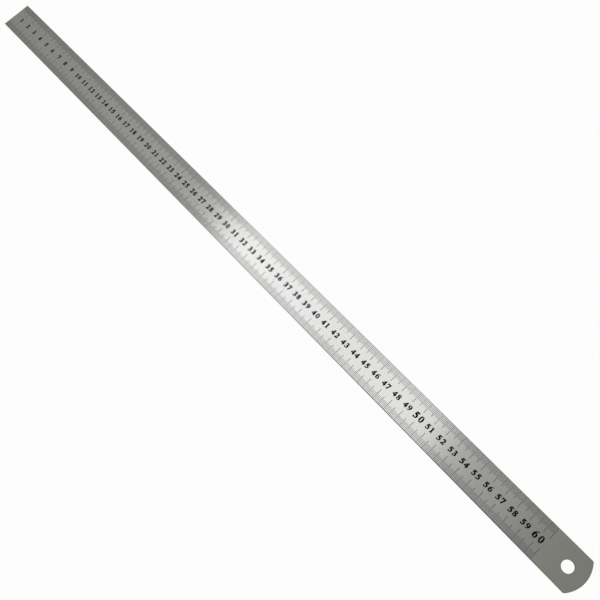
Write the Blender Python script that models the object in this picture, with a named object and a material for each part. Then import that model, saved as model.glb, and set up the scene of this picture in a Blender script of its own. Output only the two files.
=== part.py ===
"""A long steel ruler, lying face up: one flat strip of stainless steel, square at the zero end and round at the other,
with a hanging hole and a line engraved for every millimetre along both edges.

Metres, +Z up. X runs along the ruler from the zero end to the round end, and Y across it. The origin is under the
middle of the strip, on the surface that it lies on. Run it with: blender --background --python part.py
"""

import math

import bmesh
import bpy

# The strip
WIDTH = 0.026
THICKNESS = 0.0010
SCALE_LENGTH = 0.605  # from the zero end to the last line, which is half a centimetre past the 60
TAIL_LENGTH = 0.030  # from the last line to the crown of the round end
END_RISE = 0.0045  # the round end is one arc, and its crown stands this far past its shoulders
END_SEGMENTS = 32
SHOULDER_EASE = 0.0006  # the corner between the arc and each long edge is rounded off over this length
SHOULDER_SEGMENTS = 3

# The hanging hole
HOLE_DIAMETER = 0.008
HOLE_SETBACK = 0.0125  # from its centre to the crown of the round end
HOLE_SEGMENTS = 64

# The engraved lines
LINE_PITCH = 0.001
LINES_PER_HALF = 5  # every fifth line is longer
LINES_PER_WHOLE = 10  # and every tenth is the longest
LINE_DEPTH = 0.00008
UNIT_LINE_WIDTH = 0.00025
UNIT_LINE_LENGTH = 0.0050
LONG_LINE_WIDTH = 0.00035
HALF_LINE_LENGTH = 0.0068
WHOLE_LINE_LENGTH = 0.0088

# How far a cutter reaches past the faces that it cuts
CUTTER_MARGIN = 0.0005

# What the sizes above give
TOTAL_LENGTH = SCALE_LENGTH + TAIL_LENGTH
ZERO_X = -TOTAL_LENGTH / 2
CROWN_X = TOTAL_LENGTH / 2
HOLE_X = CROWN_X - HOLE_SETBACK
END_RADIUS = ((WIDTH / 2) ** 2 + END_RISE**2) / (2 * END_RISE)
ARC_CENTRE_X = CROWN_X - END_RADIUS
LINE_COUNT = round(SCALE_LENGTH / LINE_PITCH)

# Stainless steel with a satin finish
STEEL_COLOUR = (0.52, 0.52, 0.50, 1.0)
STEEL_ROUGHNESS = 0.32


def clear_scene():
    for thing in list(bpy.data.objects):
        bpy.data.objects.remove(thing)


def steel():
    material = bpy.data.materials.new("satin_stainless_steel")
    material.use_nodes = True
    shader = material.node_tree.nodes["Principled BSDF"]
    shader.inputs["Base Color"].default_value = STEEL_COLOUR
    shader.inputs["Metallic"].default_value = 1.0
    shader.inputs["Roughness"].default_value = STEEL_ROUGHNESS
    return material


def add_object(name, mesh_builder):
    mesh = bpy.data.meshes.new(name)
    bmesh.ops.recalc_face_normals(mesh_builder, faces=mesh_builder.faces)
    mesh_builder.to_mesh(mesh)
    mesh_builder.free()
    thing = bpy.data.objects.new(name, mesh)
    bpy.context.scene.collection.objects.link(thing)
    return thing


def cross_cuts():
    """The places along the scale where the strip's faces are divided, midway between two lines.

    They keep the engraved faces short, a centimetre long at most.
    """
    first = ZERO_X + (LINES_PER_WHOLE - 0.5) * LINE_PITCH
    step = LINES_PER_WHOLE * LINE_PITCH
    end_of_scale = ZERO_X + (LINE_COUNT + 0.5) * LINE_PITCH
    cuts = []
    while first + len(cuts) * step < end_of_scale - LINE_PITCH / 2:
        cuts.append(first + len(cuts) * step)
    return cuts + [end_of_scale]


def strip_mesh():
    """The plain strip: its outline in plan, filled and drawn up to its thickness."""
    half = WIDTH / 2
    sweep = math.atan2(half, END_RADIUS - END_RISE)
    builder = bmesh.new()
    stations = [ZERO_X] + cross_cuts()
    rungs = [
        (builder.verts.new((x, -half, 0)), builder.verts.new((x, half, 0)))
        for x in stations
    ]
    for (low_a, high_a), (low_b, high_b) in zip(rungs, rungs[1:]):
        builder.faces.new((low_a, low_b, high_b, high_a))
    arc = []
    for i in range(END_SEGMENTS + 1):
        angle = -sweep + 2 * sweep * i / END_SEGMENTS
        arc.append(
            builder.verts.new(
                (
                    ARC_CENTRE_X + END_RADIUS * math.cos(angle),
                    END_RADIUS * math.sin(angle),
                    0,
                )
            )
        )
    builder.faces.new([rungs[-1][0], *arc, rungs[-1][1]])
    bmesh.ops.bevel(
        builder,
        geom=[arc[0], arc[-1]],
        affect="VERTICES",
        offset=SHOULDER_EASE,
        segments=SHOULDER_SEGMENTS,
        profile=0.5,
    )
    drawn = bmesh.ops.extrude_face_region(builder, geom=builder.faces[:])
    raised = [v for v in drawn["geom"] if isinstance(v, bmesh.types.BMVert)]
    bmesh.ops.translate(builder, vec=(0, 0, THICKNESS), verts=raised)
    return builder


def hole_cutter():
    builder = bmesh.new()
    bmesh.ops.create_cone(
        builder,
        cap_ends=True,
        segments=HOLE_SEGMENTS,
        radius1=HOLE_DIAMETER / 2,
        radius2=HOLE_DIAMETER / 2,
        depth=THICKNESS + 2 * CUTTER_MARGIN,
    )
    bmesh.ops.translate(
        builder, vec=(HOLE_X, 0, THICKNESS / 2), verts=builder.verts[:]
    )
    return add_object("hole_cutter", builder)


def line_length(number):
    if number % LINES_PER_WHOLE == 0 or number == LINE_COUNT:
        return WHOLE_LINE_LENGTH
    if number % LINES_PER_HALF == 0:
        return HALF_LINE_LENGTH
    return UNIT_LINE_LENGTH


def add_graver(builder, x, side, length, width, runs_out):
    """One three-sided cutter, point down, for the line at x on the edge at side (-1 or +1).

    A long line has its full depth up to a square end. A short one gets shallower from the edge inwards and runs out
    to nothing, as where the graver lifts.
    """
    edge = side * WIDTH / 2
    spread = width / 2 / LINE_DEPTH
    rise = -LINE_DEPTH / length if runs_out else 0.0
    reach = length + CUTTER_MARGIN if runs_out else length
    rings = []
    for distance in (-CUTTER_MARGIN, reach):
        depth = LINE_DEPTH + rise * distance
        top = THICKNESS + LINE_DEPTH
        half = spread * (depth + LINE_DEPTH)
        y = edge - side * distance
        rings.append(
            [
                builder.verts.new((x, y, THICKNESS - depth)),
                builder.verts.new((x + half, y, top)),
                builder.verts.new((x - half, y, top)),
            ]
        )
    outer, inner = rings
    builder.faces.new(outer)
    builder.faces.new(inner)
    for i in range(3):
        j = (i + 1) % 3
        builder.faces.new((outer[i], outer[j], inner[j], inner[i]))


def scale_cutter():
    """The gravers for every line along both edges, as one cutter."""
    builder = bmesh.new()
    for number in range(1, LINE_COUNT + 1):
        x = ZERO_X + number * LINE_PITCH
        length = line_length(number)
        short = length == UNIT_LINE_LENGTH
        width = UNIT_LINE_WIDTH if short else LONG_LINE_WIDTH
        for side in (-1, 1):
            add_graver(builder, x, side, length, width, short)
    return add_object("scale_cutter", builder)


def cut(body, cutter):
    cutter.hide_render = True
    cutter.display_type = "WIRE"
    boolean = body.modifiers.new(cutter.name, "BOOLEAN")
    boolean.operation = "DIFFERENCE"
    boolean.solver = "EXACT"
    boolean.object = cutter


def main():
    clear_scene()
    blade = add_object("blade", strip_mesh())
    blade.data.materials.append(steel())
    cut(blade, hole_cutter())
    cut(blade, scale_cutter())


main()
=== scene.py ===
"""The look of a long steel ruler: satin stainless steel brushed along its length, thin black enamel in its
lines, and bold black numbers. It lies on a white table under an overhead softbox."""

import math

import bpy
from mathutils import Matrix, Vector


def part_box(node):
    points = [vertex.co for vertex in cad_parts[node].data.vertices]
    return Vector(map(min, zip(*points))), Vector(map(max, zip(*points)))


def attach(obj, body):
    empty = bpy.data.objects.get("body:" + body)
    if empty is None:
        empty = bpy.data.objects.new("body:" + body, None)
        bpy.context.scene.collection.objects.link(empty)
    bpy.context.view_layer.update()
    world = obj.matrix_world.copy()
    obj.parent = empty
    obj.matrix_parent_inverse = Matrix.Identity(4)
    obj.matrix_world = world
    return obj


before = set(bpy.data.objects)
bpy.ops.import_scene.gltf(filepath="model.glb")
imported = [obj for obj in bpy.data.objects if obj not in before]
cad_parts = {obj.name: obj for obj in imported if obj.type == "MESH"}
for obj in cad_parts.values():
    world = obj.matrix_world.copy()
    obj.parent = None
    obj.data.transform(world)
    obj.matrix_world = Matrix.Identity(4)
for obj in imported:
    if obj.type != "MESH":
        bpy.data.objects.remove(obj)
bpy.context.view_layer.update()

BLADE_LOW, BLADE_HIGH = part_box("blade")

MM = 0.001
ZERO_X = BLADE_LOW[0]
CROWN_X = BLADE_HIGH[0]
RULER_LENGTH = CROWN_X - ZERO_X
EDGE_Y = BLADE_HIGH[1]
FACE_Z = BLADE_HIGH[2]

# The scale, as it is engraved in the blade
LAST_LINE = 605
LINES_PER_HALF = 5
LINES_PER_WHOLE = 10
LINE_PITCH = 1.0 * MM
LINE_DEPTH = 0.08 * MM
UNIT_WIDTH = 0.25 * MM
LONG_WIDTH = 0.35 * MM
UNIT_LENGTH = 5.0 * MM
HALF_LENGTH = 6.8 * MM
WHOLE_LENGTH = 8.8 * MM

# The hole and the round end, as they are cut
HOLE_RADIUS = 4.0 * MM
HOLE_X = CROWN_X - 12.5 * MM
END_RISE = 4.5 * MM  # how far the crown of the round end stands past its shoulders
ARC_RADIUS = (EDGE_Y**2 + END_RISE**2) / (2 * END_RISE)
ARC_X = CROWN_X - ARC_RADIUS
SHOULDER_X = CROWN_X - END_RISE

# The enamel and the ink stand proud of the steel by less than the eye can see
COAT_PROUD = 0.02 * MM
ENAMEL_SETBACK = 0.01 * MM  # the enamel stops this far inside the edge of the ruler
ENAMEL_ROUNDING = 0.03 * MM  # of the corners at the inner end of each line
ENAMEL_ROUNDING_STEPS = 3
INK_DEPTH = 0.01 * MM  # how far the numbers reach below the face

# The numbers
FIRST_NUMBER = 1
LAST_NUMBER = 60
LARGE_NUMBERS = (50, 60)
# Of each size: the height of a digit, how much wider it is printed than drawn, and the step to the next digit
SMALL_DIGITS = (3.65 * MM, 1.08, 3.6 * MM)
LARGE_DIGITS = (4.55 * MM, 1.0, 4.45 * MM)
NUMBER_RISE = 0.2 * MM  # how far above the centreline the numbers sit

# The drawing of the digits
GLYPH_HEIGHT = 100.0
DIGIT_MIDDLE = 33.0  # the middle of a digit's width
SIX_WIDTH = 64
INK_SPREAD = 4.7  # the ink thickens each stroke by this much on either side
CURVE_STEPS = 5  # from one point of an outline to the next
KAPPA = 0.5523  # the length of a quarter circle's handles, for a radius of 1
MERGE_DISTANCE = 0.01

# The brushing of the steel: the size of its marks, and the shares of the steel's own tone that they give it
NOISE_SPAN = {"From Min": 0.3, "From Max": 0.7}  # nearly all of the noise lies between these
GRAIN_LONG = 14 * MM
GRAIN_WIDE = 0.09 * MM
GRAIN_DARK = 0.96
GRAIN_LIGHT = 1.03
GRAIN_HEIGHT = 0.001 * MM
GRAIN_STRENGTH = 0.6
STREAK_LONG = 45 * MM
STREAK_WIDE = 0.35 * MM
STREAK_DARK = 0.992
STREAK_LIGHT = 1.008
SATIN_LOW = 0.23  # the roughness of the smoothest marks, and of the roughest
SATIN_HIGH = 0.29
BRUSHED_ANISOTROPY = 0.9

# The colour of the steel, which drifts a little from place to place: where in the noise each tint is reached
CLOUD_SIZE = 45 * MM
STEEL_TINTS = [(0.35, "C6C6C4"), (0.68, "C9C9C9")]

# The narrow faces: the long edges, both ends and the wall of the hole
NARROW_BELOW = 0.5  # a face is narrow where its normal rises less than this
# Their colour is darker partly from the coarser grinding and partly as painted shade
NARROW_GROUND_AND_SHADE_COLOUR = "6E6D69"
NARROW_DULLING = 0.18  # how much rougher they are

# Painted shade along the edges of the face and the hole: how far in it reaches, how far in it is darkest, and
# its tone there
EDGE_SHADE_WIDE = 0.36 * MM
EDGE_SHADE_FULL = 0.1 * MM
EDGE_SHADE_TONE = 0.25

# Painted shade along the lower edge, a dark line of shade: how far in it reaches, how far in it is darkest,
# and how dark it is there at each millimetre of the scale
LOWER_SHADE_WIDE = 0.42 * MM
LOWER_SHADE_FULL = 0.3 * MM
LOWER_SHADE_DARKNESS = [(270, 0.0), (360, 0.4), (440, 0.65), (470, 0.97), (560, 0.97), (600, 0.8), (612, 0.0)]

# Where in the noise a coat's darker and lighter tints are reached
COAT_DARK_AT = 0.35
COAT_LIGHT_AT = 0.75

# The table
TABLE_SIZE = 30
TABLE_COLOUR = "F6F6F5"
WHITE_SHARE = 0.93  # how far what is seen of the table is lifted to plain white

# The camera, matched to the photograph's 600 by 600 pixels
PHOTO_WIDTH = 600
FOCAL_PIXELS = 719.9
SENSOR_MM = 36.0
CAMERA_CLIP = 0.01  # nothing nearer than this is drawn
CAMERA_FROM_ZERO = Vector((562.3, -63.7, 472.4)) * MM
CAMERA_RIGHT = Vector((0.66170, 0.73426, -0.15170))
CAMERA_FORWARD = Vector((-0.35025, 0.12382, -0.92844))

# The softbox
SOFTBOX_HEIGHT = 1.2  # above the ruler's face
SOFTBOX_DEPTH = 1.6  # across the ruler
SOFTBOX_Y = 0.16  # its middle, from the ruler's centreline
SOFTBOX_RADIANCE = 1.5
SOFTBOX_COLOUR = (0.982, 0.988, 1.0)
SOFTBOX_END = 0.66  # how far along the ruler its last part shows
# How bright it is where it shows at each millimetre of the ruler, as a share of its full radiance
SOFTBOX_GLOW = [
    (0, 0.06),
    (30, 0.08),
    (100, 0.07),
    (160, 0.13),
    (200, 0.14),
    (250, 0.18),
    (272, 0.185),
    (292, 0.28),
    (302, 1.04),
    (330, 1.04),
    (345, 0.87),
    (425, 0.755),
    (485, 0.765),
    (513, 0.85),
    (520, 0.23),
    (560, 0.155),
    (595, 0.06),
    (612, 0.01),
    (640, 0.0),
]

# The fill lamp
FILL_SIZE = 2.0
FILL_POWER = 12.0
FILL_PLACE = (2.0, 0.5, 1.4)

# The light of the room, by how steeply one looks up, as a sine
ROOM_LIGHT = [(0.15, (0.985, 0.985, 0.98, 1.0)), (0.55, (0.315, 0.313, 0.29, 1.0))]


# Colours, nodes and objects


def linear(code):
    """An sRGB colour written as RRGGBB, as Blender's linear RGBA."""
    parts = [int(code[i : i + 2], 16) / 255 for i in (0, 2, 4)]
    return (*[c / 12.92 if c <= 0.04045 else ((c + 0.055) / 1.055) ** 2.4 for c in parts], 1.0)


def grey(level):
    """A linear grey, for a colour ramp that gives a plain number."""
    return (level, level, level, 1.0)


def add(tree, kind, sockets=None, **settings):
    """Adds a shader node, with its settings, and with a value or a link for each socket named."""
    made = tree.nodes.new("ShaderNode" + kind)
    for name, value in settings.items():
        setattr(made, name, value)
    for name, value in (sockets or {}).items():
        if isinstance(value, bpy.types.NodeSocket):
            tree.links.new(value, made.inputs[name])
        else:
            made.inputs[name].default_value = value
    return made


def set_stops(color_ramp, stops):
    """Gives a new colour ramp its stops, each a position and a linear colour. Their positions rise."""
    first, last = color_ramp.elements
    for element, (position, colour) in ((first, stops[0]), (last, stops[-1])):
        element.position = position
        element.color = colour
    for position, colour in stops[1:-1]:
        color_ramp.elements.new(position).color = colour


def new_material(name):
    material = bpy.data.materials.new(name)
    material.use_nodes = True
    material.node_tree.nodes.clear()
    return material, material.node_tree


def finish_material(tree, shader):
    add(tree, "OutputMaterial", {"Surface": shader.outputs[0]})


def new_object(name, data):
    thing = bpy.data.objects.new(name, data)
    bpy.context.scene.collection.objects.link(thing)
    return thing


def select_only(*things):
    bpy.ops.object.select_all(action="DESELECT")
    for thing in things:
        thing.select_set(True)
    bpy.context.view_layer.objects.active = things[0]


def joined(things, name, material):
    """The things as one piece, with its name and its material."""
    select_only(*things)
    bpy.ops.object.join()
    piece = bpy.context.view_layer.objects.active
    piece.name = piece.data.name = name
    piece.data.materials.clear()
    piece.data.materials.append(material)
    return piece


# The materials


def outline_distance(tree, spot):
    """The distance in plan from a point on the face to the nearest edge of the blade or of its hole."""
    parts = add(tree, "SeparateXYZ", {0: spot})
    plan = add(tree, "CombineXYZ", {"X": parts.outputs["X"], "Y": parts.outputs["Y"]})
    off_centre = add(tree, "Math", {0: parts.outputs["Y"]}, operation="ABSOLUTE")
    to_side = add(tree, "Math", {0: EDGE_Y, 1: off_centre.outputs[0]}, operation="SUBTRACT")
    to_zero = add(tree, "Math", {0: parts.outputs["X"], 1: ZERO_X}, operation="SUBTRACT")
    from_hole = add(tree, "VectorMath", {0: plan.outputs[0], 1: (HOLE_X, 0, 0)}, operation="DISTANCE")
    to_hole = add(tree, "Math", {0: from_hole.outputs["Value"], 1: HOLE_RADIUS}, operation="SUBTRACT")

    # The arc is an edge only past its shoulders. Before them a metre is added, so that it is never nearest
    from_arc = add(tree, "VectorMath", {0: plan.outputs[0], 1: (ARC_X, 0, 0)}, operation="DISTANCE")
    to_arc = add(tree, "Math", {0: ARC_RADIUS, 1: from_arc.outputs["Value"]}, operation="SUBTRACT")
    before_shoulder = add(tree, "Math", {0: parts.outputs["X"], 1: SHOULDER_X}, operation="LESS_THAN")
    to_end = add(tree, "Math", {0: before_shoulder.outputs[0], 1: to_arc.outputs[0]}, operation="ADD")

    nearest = to_side
    for other in (to_zero, to_hole, to_end):
        nearest = add(tree, "Math", {0: nearest.outputs[0], 1: other.outputs[0]}, operation="MINIMUM")
    return nearest.outputs[0]


def lower_facet(tree, spot):
    """The tone of a painted shade along the lower edge, a dark line as where the edge turns from the softbox.

    The tone is 1 away from the painted shade. It starts at 27 cm, is darkest from 47 to 56 cm, and ends
    where the plain round end starts.
    """
    parts = add(tree, "SeparateXYZ", {0: spot})
    along = add(tree, "Math", {0: parts.outputs["X"], 1: ZERO_X}, operation="SUBTRACT")
    share = add(tree, "Math", {0: along.outputs[0], 1: RULER_LENGTH}, operation="DIVIDE")
    darkness = add(tree, "ValToRGB", {"Fac": share.outputs[0]})
    stops = [(mark * LINE_PITCH / RULER_LENGTH, grey(dark)) for mark, dark in LOWER_SHADE_DARKNESS]
    set_stops(darkness.color_ramp, stops)
    inward = add(tree, "Math", {0: parts.outputs["Y"], 1: EDGE_Y}, operation="ADD")
    strip = add(
        tree,
        "MapRange",
        {
            "Value": inward.outputs[0],
            "From Min": LOWER_SHADE_WIDE,
            "From Max": LOWER_SHADE_FULL,
            "To Min": 0.0,
            "To Max": 1.0,
        },
    )
    lost = add(tree, "Math", {0: strip.outputs[0], 1: darkness.outputs[0]}, operation="MULTIPLY")
    return add(tree, "Math", {0: 1.0, 1: lost.outputs[0]}, operation="SUBTRACT").outputs[0]


def brushed_stainless_steel():
    """Stainless strip, satin brushed along its length.

    The brushing keeps reflections fairly sharp along the ruler and smears them across it, so the softbox
    shows as a bright stretch with soft sides. Real brushing is about 0.05 mm wide. The grain here is a
    little wider, and the streaks wider still, so that it shows from a step away.
    """
    material, tree = new_material("brushed_stainless_steel")
    place = add(tree, "TexCoord")
    spot = place.outputs["Object"]
    grain_scale = (1 / GRAIN_LONG, 1 / GRAIN_WIDE, 1 / GRAIN_WIDE)
    grain_place = add(tree, "Mapping", {"Vector": spot, "Scale": grain_scale})
    grain = add(
        tree,
        "TexNoise",
        {"Vector": grain_place.outputs[0], "Scale": 1.0, "Detail": 3.0, "Roughness": 0.6},
    )
    streak_scale = (1 / STREAK_LONG, 1 / STREAK_WIDE, 1 / STREAK_WIDE)
    streak_place = add(tree, "Mapping", {"Vector": spot, "Scale": streak_scale})
    streak = add(tree, "TexNoise", {"Vector": streak_place.outputs[0], "Scale": 1.0, "Detail": 2.0})
    cloud = add(tree, "TexNoise", {"Vector": spot, "Scale": 1 / CLOUD_SIZE, "Detail": 2.0})

    grain_tone = add(
        tree,
        "MapRange",
        {"Value": grain.outputs[0], **NOISE_SPAN, "To Min": GRAIN_DARK, "To Max": GRAIN_LIGHT},
    )
    streak_tone = add(
        tree,
        "MapRange",
        {"Value": streak.outputs[0], **NOISE_SPAN, "To Min": STREAK_DARK, "To Max": STREAK_LIGHT},
    )
    brushed = add(tree, "Math", {0: grain_tone.outputs[0], 1: streak_tone.outputs[0]}, operation="MULTIPLY")

    # Painted shade: a thin dark line along every edge and the rim of the hole, as a broken corner turned from
    # the light would show
    edge_shade = add(
        tree,
        "MapRange",
        {
            "Value": outline_distance(tree, spot),
            "From Min": EDGE_SHADE_FULL,
            "From Max": EDGE_SHADE_WIDE,
            "To Min": EDGE_SHADE_TONE,
            "To Max": 1.0,
        },
    )
    brushed_and_shaded = add(tree, "Math", {0: brushed.outputs[0], 1: edge_shade.outputs[0]}, operation="MULTIPLY")
    # The painted shade along the lower edge darkens the face further
    tone = add(tree, "Math", {0: brushed_and_shaded.outputs[0], 1: lower_facet(tree, spot)}, operation="MULTIPLY")

    tint = add(tree, "ValToRGB", {"Fac": cloud.outputs[0]})
    set_stops(tint.color_ramp, [(position, linear(code)) for position, code in STEEL_TINTS])
    face = add(tree, "VectorMath", {0: tint.outputs[0], "Scale": tone.outputs[0]}, operation="SCALE")

    # The narrow faces are ground along too, but coarser, so they are duller; their darker colour is partly
    # that and partly painted shade
    turned_to = add(tree, "SeparateXYZ", {0: place.outputs["Normal"]})
    flatness = add(tree, "Math", {0: turned_to.outputs["Z"]}, operation="ABSOLUTE")
    narrow = add(tree, "Math", {0: flatness.outputs[0], 1: NARROW_BELOW}, operation="LESS_THAN")
    broad = add(tree, "Math", {0: flatness.outputs[0], 1: NARROW_BELOW}, operation="GREATER_THAN")
    colour = add(
        tree,
        "MixRGB",
        {"Fac": narrow.outputs[0], "Color1": face.outputs[0], "Color2": linear(NARROW_GROUND_AND_SHADE_COLOUR)},
    )
    satin = add(
        tree,
        "MapRange",
        {"Value": grain.outputs[0], **NOISE_SPAN, "To Min": SATIN_LOW, "To Max": SATIN_HIGH},
    )
    dulled = add(
        tree,
        "Math",
        {0: narrow.outputs[0], 1: NARROW_DULLING, 2: satin.outputs[0]},
        operation="MULTIPLY_ADD",
    )

    relief = add(
        tree,
        "Bump",
        {"Strength": GRAIN_STRENGTH, "Distance": GRAIN_HEIGHT, "Height": grain.outputs[0]},
    )
    # Across the brushing: Y on the two broad faces, and Z on the narrow ones
    across = add(tree, "CombineXYZ", {"X": 0.0, "Y": broad.outputs[0], "Z": narrow.outputs[0]})
    shader = add(
        tree,
        "BsdfPrincipled",
        {
            "Base Color": colour.outputs[0],
            "Metallic": 1.0,
            "Roughness": dulled.outputs[0],
            "Anisotropic": BRUSHED_ANISOTROPY,
            "Tangent": across.outputs[0],
            "Normal": relief.outputs[0],
        },
    )
    finish_material(tree, shader)
    return material


def black_coat(name, dark, light, speck_size, smoothest, roughest, specular):
    """A thin black coat on the steel, a little uneven in tone and in gloss.

    The painted shade along the lower edge darkens it as it does the steel.
    """
    material, tree = new_material(name)
    spot = add(tree, "TexCoord").outputs["Object"]
    specks = add(tree, "TexNoise", {"Vector": spot, "Scale": 1 / speck_size, "Detail": 2.0})
    tint = add(tree, "ValToRGB", {"Fac": specks.outputs[0]})
    set_stops(tint.color_ramp, [(COAT_DARK_AT, linear(dark)), (COAT_LIGHT_AT, linear(light))])
    coat = add(tree, "VectorMath", {0: tint.outputs[0], "Scale": lower_facet(tree, spot)}, operation="SCALE")
    gloss = add(tree, "MapRange", {"Value": specks.outputs[0], "To Min": smoothest, "To Max": roughest})
    shader = add(
        tree,
        "BsdfPrincipled",
        {"Base Color": coat.outputs[0], "Roughness": gloss.outputs[0], "Specular IOR Level": specular},
    )
    finish_material(tree, shader)
    return material


def black_enamel():
    """Black enamel, wiped into the engraved lines, baked, and rubbed down with the face.

    So little of it is left that a line reads as dark grey, with a soft gloss.
    """
    return black_coat(
        "black_enamel",
        dark="474644",
        light="565553",
        speck_size=0.4 * MM,
        smoothest=0.4,
        roughest=0.6,
        specular=0.25,
    )


def black_screen_ink():
    """Black ink, screen printed on the brushed face.

    It is dense and dries matt, so the numbers are the blackest thing on the ruler.
    """
    return black_coat(
        "black_screen_ink",
        dark="060606",
        light="0F0F0E",
        speck_size=0.8 * MM,
        smoothest=0.6,
        roughest=0.8,
        specular=0.06,
    )


def white_laminate():
    """The table top: laminate, pressed with a plain matt white skin, which shows no grain and no gloss.

    What the camera, the steel and glass see of it is lifted towards the photograph's white. The rest is the
    plain skin, which keeps the ruler's shadow.
    """
    material, tree = new_material("white_laminate")
    path = add(tree, "LightPath")
    seen = add(
        tree,
        "Math",
        {0: path.outputs["Is Camera Ray"], 1: path.outputs["Is Glossy Ray"]},
        operation="MAXIMUM",
    )
    seen = add(
        tree,
        "Math",
        {0: seen.outputs[0], 1: path.outputs["Is Transmission Ray"]},
        operation="MAXIMUM",
    )
    share = add(tree, "Math", {0: seen.outputs[0], 1: WHITE_SHARE}, operation="MULTIPLY")
    plain = add(tree, "BsdfDiffuse", {"Color": linear(TABLE_COLOUR)})
    white = add(tree, "Emission", {"Color": (1, 1, 1, 1), "Strength": 1.0})
    mixed = add(tree, "MixShader", {0: share.outputs[0], 1: plain.outputs[0], 2: white.outputs[0]})
    finish_material(tree, mixed)
    return material


# The digits, drawn as a bold face with thick uprights, thin joins and small serifs


# Each outline is a list of points, (x, y, smooth). A smooth point lies on a round stretch, and any other is a
# corner
ROUND, SHARP = True, False


def oval(x, y, across, up):
    """An upright oval about (x, y): points and handles that make a true ellipse."""
    return ("oval", x, y, across, up)


def turned(outlines, width):
    """The same outlines turned half way round, as a 9 is a turned 6."""
    made = []
    for outline in outlines:
        if outline[0] == "oval":
            made.append(oval(width - outline[1], GLYPH_HEIGHT - outline[2], outline[3], outline[4]))
        else:
            made.append([(width - x, GLYPH_HEIGHT - y, smooth) for x, y, smooth in outline])
    return made


SIX = [
    [
        (61, 100, SHARP),
        (36, 92, ROUND),
        (13, 72, ROUND),
        (1, 37, ROUND),
        (10, 9, ROUND),
        (33, 0, ROUND),
        (56, 9, ROUND),
        (64, 32, ROUND),
        (57, 54, ROUND),
        (38, 63, ROUND),
        (32, 60, SHARP),
        (26, 66, SHARP),
        (29, 75, ROUND),
        (42, 89, ROUND),
        (61, 97, SHARP),
    ],
    oval(34, 30, 12, 26),
]

DIGITS = {
    "0": [oval(32, 50, 30.5, 50), oval(32, 50, 13.5, 46)],
    "1": [
        [
            (10, 0, SHARP),
            (56, 0, SHARP),
            (56, 4, SHARP),
            (46, 6, ROUND),
            (43, 13, SHARP),
            (43, 100, SHARP),
            (38, 100, SHARP),
            (8, 86, SHARP),
            (9, 82, SHARP),
            (18, 83, ROUND),
            (23, 76, SHARP),
            (23, 13, SHARP),
            (20, 6, ROUND),
            (10, 4, SHARP),
        ]
    ],
    "2": [
        [
            (2, 0, SHARP),
            (58, 0, SHARP),
            (66, 28, SHARP),
            (62, 28, SHARP),
            (56, 19, ROUND),
            (46, 17, SHARP),
            (24, 17, SHARP),
            (50, 45, ROUND),
            (61, 71, ROUND),
            (54, 92, ROUND),
            (34, 100, ROUND),
            (14, 92, ROUND),
            (3, 72, SHARP),
            (7, 70, SHARP),
            (16, 81, ROUND),
            (27, 83, ROUND),
            (38, 75, ROUND),
            (39, 57, ROUND),
            (28, 34, ROUND),
            (2, 4, SHARP),
        ]
    ],
    "3": [
        [
            (5, 76, SHARP),
            (13, 92, ROUND),
            (32, 100, ROUND),
            (51, 94, ROUND),
            (58, 78, ROUND),
            (53, 65, ROUND),
            (42, 56, SHARP),
            (57, 47, ROUND),
            (63, 31, ROUND),
            (54, 9, ROUND),
            (25, 0, ROUND),
            (6, 3, ROUND),
            (2, 11, ROUND),
            (11, 18, ROUND),
            (22, 12, ROUND),
            (34, 8, ROUND),
            (43, 19, ROUND),
            (40, 35, ROUND),
            (18, 45, SHARP),
            (18, 49, SHARP),
            (35, 60, ROUND),
            (37, 76, ROUND),
            (31, 86, ROUND),
            (20, 87, ROUND),
            (9, 75, SHARP),
        ]
    ],
    "4": [
        [
            (0, 22, SHARP),
            (36, 22, SHARP),
            (36, 0, SHARP),
            (56, 0, SHARP),
            (56, 22, SHARP),
            (66, 22, SHARP),
            (66, 37, SHARP),
            (56, 37, SHARP),
            (56, 100, SHARP),
            (46, 100, SHARP),
            (0, 35, SHARP),
        ],
        [(9, 37, SHARP), (36, 76, SHARP), (36, 37, SHARP)],
    ],
    "5": [
        [
            (17, 99, SHARP),
            (58, 99, SHARP),
            (62, 100, SHARP),
            (56, 81, SHARP),
            (22, 81, SHARP),
            (19, 70, SHARP),
            (42, 65, ROUND),
            (58, 52, ROUND),
            (62, 34, ROUND),
            (53, 10, ROUND),
            (26, 0, ROUND),
            (7, 3, ROUND),
            (2, 11, ROUND),
            (10, 19, ROUND),
            (22, 13, ROUND),
            (33, 8, ROUND),
            (43, 17, ROUND),
            (42, 36, ROUND),
            (26, 48, ROUND),
            (5, 52, SHARP),
        ]
    ],
    "6": SIX,
    "7": [
        [
            (6, 100, SHARP),
            (65, 100, SHARP),
            (65, 95, SHARP),
            (34, 0, SHARP),
            (16, 0, SHARP),
            (46, 82, SHARP),
            (20, 82, ROUND),
            (9, 77, ROUND),
            (4, 68, SHARP),
            (0, 68, SHARP),
        ]
    ],
    "8": [
        [
            (31, 100, ROUND),
            (51, 93, ROUND),
            (58, 76, ROUND),
            (53, 63, ROUND),
            (42, 54, SHARP),
            (57, 43, ROUND),
            (63, 26, ROUND),
            (54, 7, ROUND),
            (31, 0, ROUND),
            (8, 7, ROUND),
            (1, 23, ROUND),
            (6, 37, ROUND),
            (19, 48, SHARP),
            (7, 59, ROUND),
            (3, 74, ROUND),
            (11, 92, ROUND),
        ],
        [(32, 95, ROUND), (41, 78, ROUND), (35, 60, ROUND), (22, 76, ROUND)],
        [(24, 43, ROUND), (42, 22, ROUND), (31, 5, ROUND), (17, 22, ROUND)],
    ],
    "9": turned(SIX, SIX_WIDTH),
}

def signed_area(points):
    """Positive where the points run anticlockwise."""
    pairs = zip(points, points[1:] + points[:1])
    return sum(a[0] * b[1] - b[0] * a[1] for a, b in pairs) / 2


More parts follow.
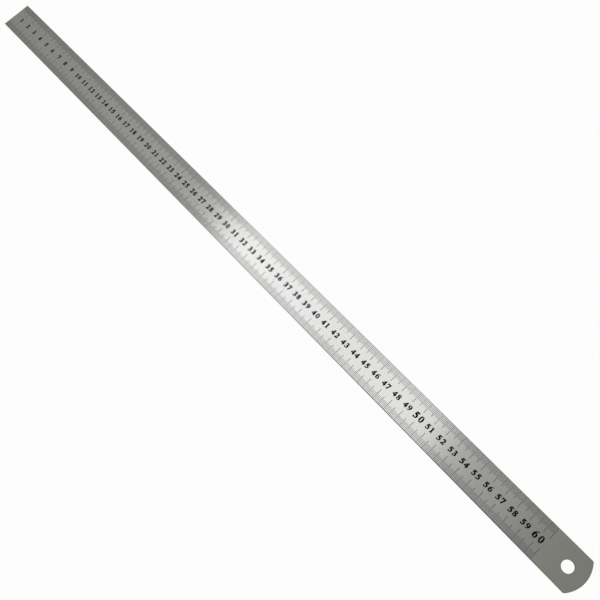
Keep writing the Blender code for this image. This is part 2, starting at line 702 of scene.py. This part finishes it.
def add_spline(curve, outline, is_counter):
    """Adds an outline to a digit's curve.

    Outer ones run anticlockwise and counters clockwise, so that the ink spreads out of both.
    """
    spline = curve.splines.new("BEZIER")
    spline.use_cyclic_u = True
    spline.resolution_u = CURVE_STEPS
    if outline[0] == "oval":
        x, y, across, up = outline[1:]
        way = -1 if is_counter else 1
        quarters = [(1, 0), (0, way), (-1, 0), (0, -way)]
        spline.bezier_points.add(len(quarters) - 1)
        for point, (i, j) in zip(spline.bezier_points, quarters):
            point.handle_left_type = point.handle_right_type = "FREE"
            point.co = (x + i * across, y + j * up, 0)
            ahead = Vector((-j * across, i * up, 0)) * KAPPA * way
            point.handle_left = point.co - ahead
            point.handle_right = point.co + ahead
        return
    if (signed_area(outline) < 0) != is_counter:
        outline = outline[::-1]
    spline.bezier_points.add(len(outline) - 1)
    for point, (x, y, smooth) in zip(spline.bezier_points, outline):
        point.co = (x, y, 0)
        point.handle_left_type = point.handle_right_type = "AUTO" if smooth else "VECTOR"


def digit_mesh(digit):
    """A digit as a closed solid, one unit high and thick, about the middle of its width and height."""
    curve = bpy.data.curves.new("digit", "CURVE")
    curve.dimensions = "2D"
    curve.fill_mode = "BOTH"
    curve.extrude = 1 / 2
    curve.offset = INK_SPREAD
    for i, outline in enumerate(DIGITS[digit]):
        add_spline(curve, outline, is_counter=i > 0)
    select_only(new_object("digit", curve))
    bpy.ops.object.convert(target="MESH")
    thing = bpy.context.view_layer.objects.active
    bpy.ops.object.mode_set(mode="EDIT")
    bpy.ops.mesh.select_all(action="SELECT")
    bpy.ops.mesh.remove_doubles(threshold=MERGE_DISTANCE)
    bpy.ops.mesh.normals_make_consistent(inside=False)
    bpy.ops.object.mode_set(mode="OBJECT")
    mesh = thing.data
    middle = Vector((DIGIT_MIDDLE, GLYPH_HEIGHT / 2, 0))
    shrink = Matrix.Diagonal((1 / GLYPH_HEIGHT, 1 / GLYPH_HEIGHT, 1, 1))
    mesh.transform(shrink @ Matrix.Translation(-middle))
    bpy.data.objects.remove(thing)
    return mesh


# The pieces that the blade carries


def numbers(ink):
    """The numbers of the centimetres, each centred on its own line."""
    meshes = {digit: digit_mesh(digit) for digit in DIGITS}
    thick = INK_DEPTH + COAT_PROUD
    z = FACE_Z + COAT_PROUD - thick / 2
    placed = []
    for number in range(FIRST_NUMBER, LAST_NUMBER + 1):
        height, stretch, advance = LARGE_DIGITS if number in LARGE_NUMBERS else SMALL_DIGITS
        size = Matrix.Diagonal((height * stretch, height, thick, 1))
        text = str(number)
        for i, digit in enumerate(text):
            x = ZERO_X + number * LINES_PER_WHOLE * LINE_PITCH + (i - (len(text) - 1) / 2) * advance
            mesh = meshes[digit].copy()
            mesh.transform(Matrix.Translation((x, NUMBER_RISE, z)) @ size)
            placed.append(new_object(f"digit_{number}_{i}", mesh))
    return joined(placed, "numbers", ink)


def enamel_bar(length, width):
    """The enamel of one line, about the origin and along Y. Its outer end is square, its inner one eased."""
    deep = LINE_DEPTH + COAT_PROUD
    long = length - ENAMEL_SETBACK
    bpy.ops.object.select_all(action="DESELECT")
    bpy.ops.mesh.primitive_cube_add(size=1, scale=(width, long, deep))
    bar = bpy.context.object
    bpy.ops.object.transform_apply(location=False, rotation=False, scale=True)
    bpy.ops.object.mode_set(mode="EDIT")
    bpy.ops.mesh.select_mode(type="EDGE")
    bpy.ops.mesh.select_all(action="DESELECT")
    bpy.ops.object.mode_set(mode="OBJECT")
    for edge in bar.data.edges:
        ends = [bar.data.vertices[i].co for i in edge.vertices]
        edge.select = all(end.y < 0 for end in ends) and abs(ends[0].z - ends[1].z) > deep / 2
    bpy.ops.object.mode_set(mode="EDIT")
    bpy.ops.mesh.bevel(offset=ENAMEL_ROUNDING, segments=ENAMEL_ROUNDING_STEPS)
    bpy.ops.object.mode_set(mode="OBJECT")
    return bar


def enamel_lines(name, marks, length, width, enamel):
    """The enamel in the lines of one length, at the given millimetres and along both edges."""
    bar = enamel_bar(length, width)
    from_edge = ENAMEL_SETBACK + (length - ENAMEL_SETBACK) / 2
    z = FACE_Z + COAT_PROUD - (LINE_DEPTH + COAT_PROUD) / 2
    bars = []
    for turn, y in ((0, EDGE_Y - from_edge), (math.pi, from_edge - EDGE_Y)):
        for mark in marks:
            mesh = bar.data.copy()
            place = Matrix.Translation((ZERO_X + mark * LINE_PITCH, y, z))
            mesh.transform(place @ Matrix.Rotation(turn, 4, "Z"))
            bars.append(new_object("bar", mesh))
    bpy.data.objects.remove(bar)
    return joined(bars, name, enamel)


def dress():
    """Gives the blade its steel, fills its lines and prints its numbers."""
    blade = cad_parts["blade"]
    blade.data.materials.clear()
    blade.data.materials.append(brushed_stainless_steel())
    enamel = black_enamel()
    wholes = [m for m in range(1, LAST_LINE + 1) if m % LINES_PER_WHOLE == 0] + [LAST_LINE]
    halves = [m for m in range(1, LAST_LINE) if m % LINES_PER_WHOLE == LINES_PER_HALF]
    units = [m for m in range(1, LAST_LINE) if m % LINES_PER_HALF]
    made = [
        enamel_lines("whole_lines", wholes, WHOLE_LENGTH, LONG_WIDTH, enamel),
        enamel_lines("half_lines", halves, HALF_LENGTH, LONG_WIDTH, enamel),
        enamel_lines("unit_lines", units, UNIT_LENGTH, UNIT_WIDTH, enamel),
        numbers(black_screen_ink()),
    ]
    for piece in made:
        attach(piece, "root")


# The table, the camera and the light


def table():
    bpy.ops.object.select_all(action="DESELECT")
    bpy.ops.mesh.primitive_plane_add(size=TABLE_SIZE)
    floor = bpy.context.object
    floor.name = "table"
    floor.data.materials.append(white_laminate())


def camera():
    data = bpy.data.cameras.new("camera")
    data.sensor_width = SENSOR_MM
    data.lens = FOCAL_PIXELS * SENSOR_MM / PHOTO_WIDTH
    data.clip_start = CAMERA_CLIP
    thing = new_object("camera", data)
    forward = CAMERA_FORWARD.normalized()
    right = (CAMERA_RIGHT - CAMERA_RIGHT.dot(forward) * forward).normalized()
    up = right.cross(forward)
    turn = Matrix((right, up, -forward)).transposed().to_4x4()
    thing.matrix_world = Matrix.Translation(CAMERA_FROM_ZERO + Vector((ZERO_X, 0, FACE_Z))) @ turn
    bpy.context.scene.camera = thing


def ceiling_x(along):
    """Where on the softbox's plane the camera sees the reflection of the point this far along the ruler."""
    lens_x, lens_height = CAMERA_FROM_ZERO.x, CAMERA_FROM_ZERO.z
    return ZERO_X + along + (along - lens_x) * SOFTBOX_HEIGHT / lens_height


def softbox():
    """A long box over the ruler, hot in its middle. It fades as it does where the steel mirrors it."""
    first, last = ceiling_x(0), ceiling_x(SOFTBOX_END)
    data = bpy.data.lights.new("softbox", "AREA")
    data.shape = "RECTANGLE"
    data.size = last - first
    data.size_y = SOFTBOX_DEPTH
    data.energy = SOFTBOX_RADIANCE * math.pi * data.size * data.size_y
    data.color = SOFTBOX_COLOUR
    data.use_nodes = True
    tree = data.node_tree
    place = add(tree, "NewGeometry")
    parts = add(tree, "SeparateXYZ", {0: place.outputs["Parametric"]})
    glow = add(tree, "ValToRGB", {"Fac": parts.outputs["X"]})
    stops = [((ceiling_x(mark * MM) - first) / (last - first), grey(level)) for mark, level in SOFTBOX_GLOW]
    set_stops(glow.color_ramp, stops)
    tree.links.new(glow.outputs[0], tree.nodes["Emission"].inputs["Strength"])
    thing = new_object("softbox", data)
    thing.location = ((first + last) / 2, SOFTBOX_Y, FACE_Z + SOFTBOX_HEIGHT)
    thing.visible_camera = False


def fill_light():
    """A soft lamp beyond the round end, which lifts the paint and the table.

    It is about as bright as the room, so the steel never mirrors it as a glare.
    """
    data = bpy.data.lights.new("fill", "AREA")
    data.shape = "DISK"
    data.size = FILL_SIZE
    data.energy = FILL_POWER
    thing = new_object("fill", data)
    thing.location = FILL_PLACE
    thing.rotation_euler = (-thing.location).to_track_quat("-Z", "Y").to_euler()
    thing.visible_camera = False


def room():
    """The room: white at the level of the eye, and greyer overhead."""
    world = bpy.data.worlds.new("room")
    bpy.context.scene.world = world
    world.use_nodes = True
    tree = world.node_tree
    way = add(tree, "TexCoord")
    parts = add(tree, "SeparateXYZ", {0: way.outputs["Generated"]})
    shade = add(tree, "ValToRGB", {"Fac": parts.outputs["Z"]})
    set_stops(shade.color_ramp, ROOM_LIGHT)
    tree.links.new(shade.outputs[0], tree.nodes["Background"].inputs["Color"])


bpy.context.scene.view_settings.view_transform = "Standard"
camera()
softbox()
fill_light()
room()
table()
dress()
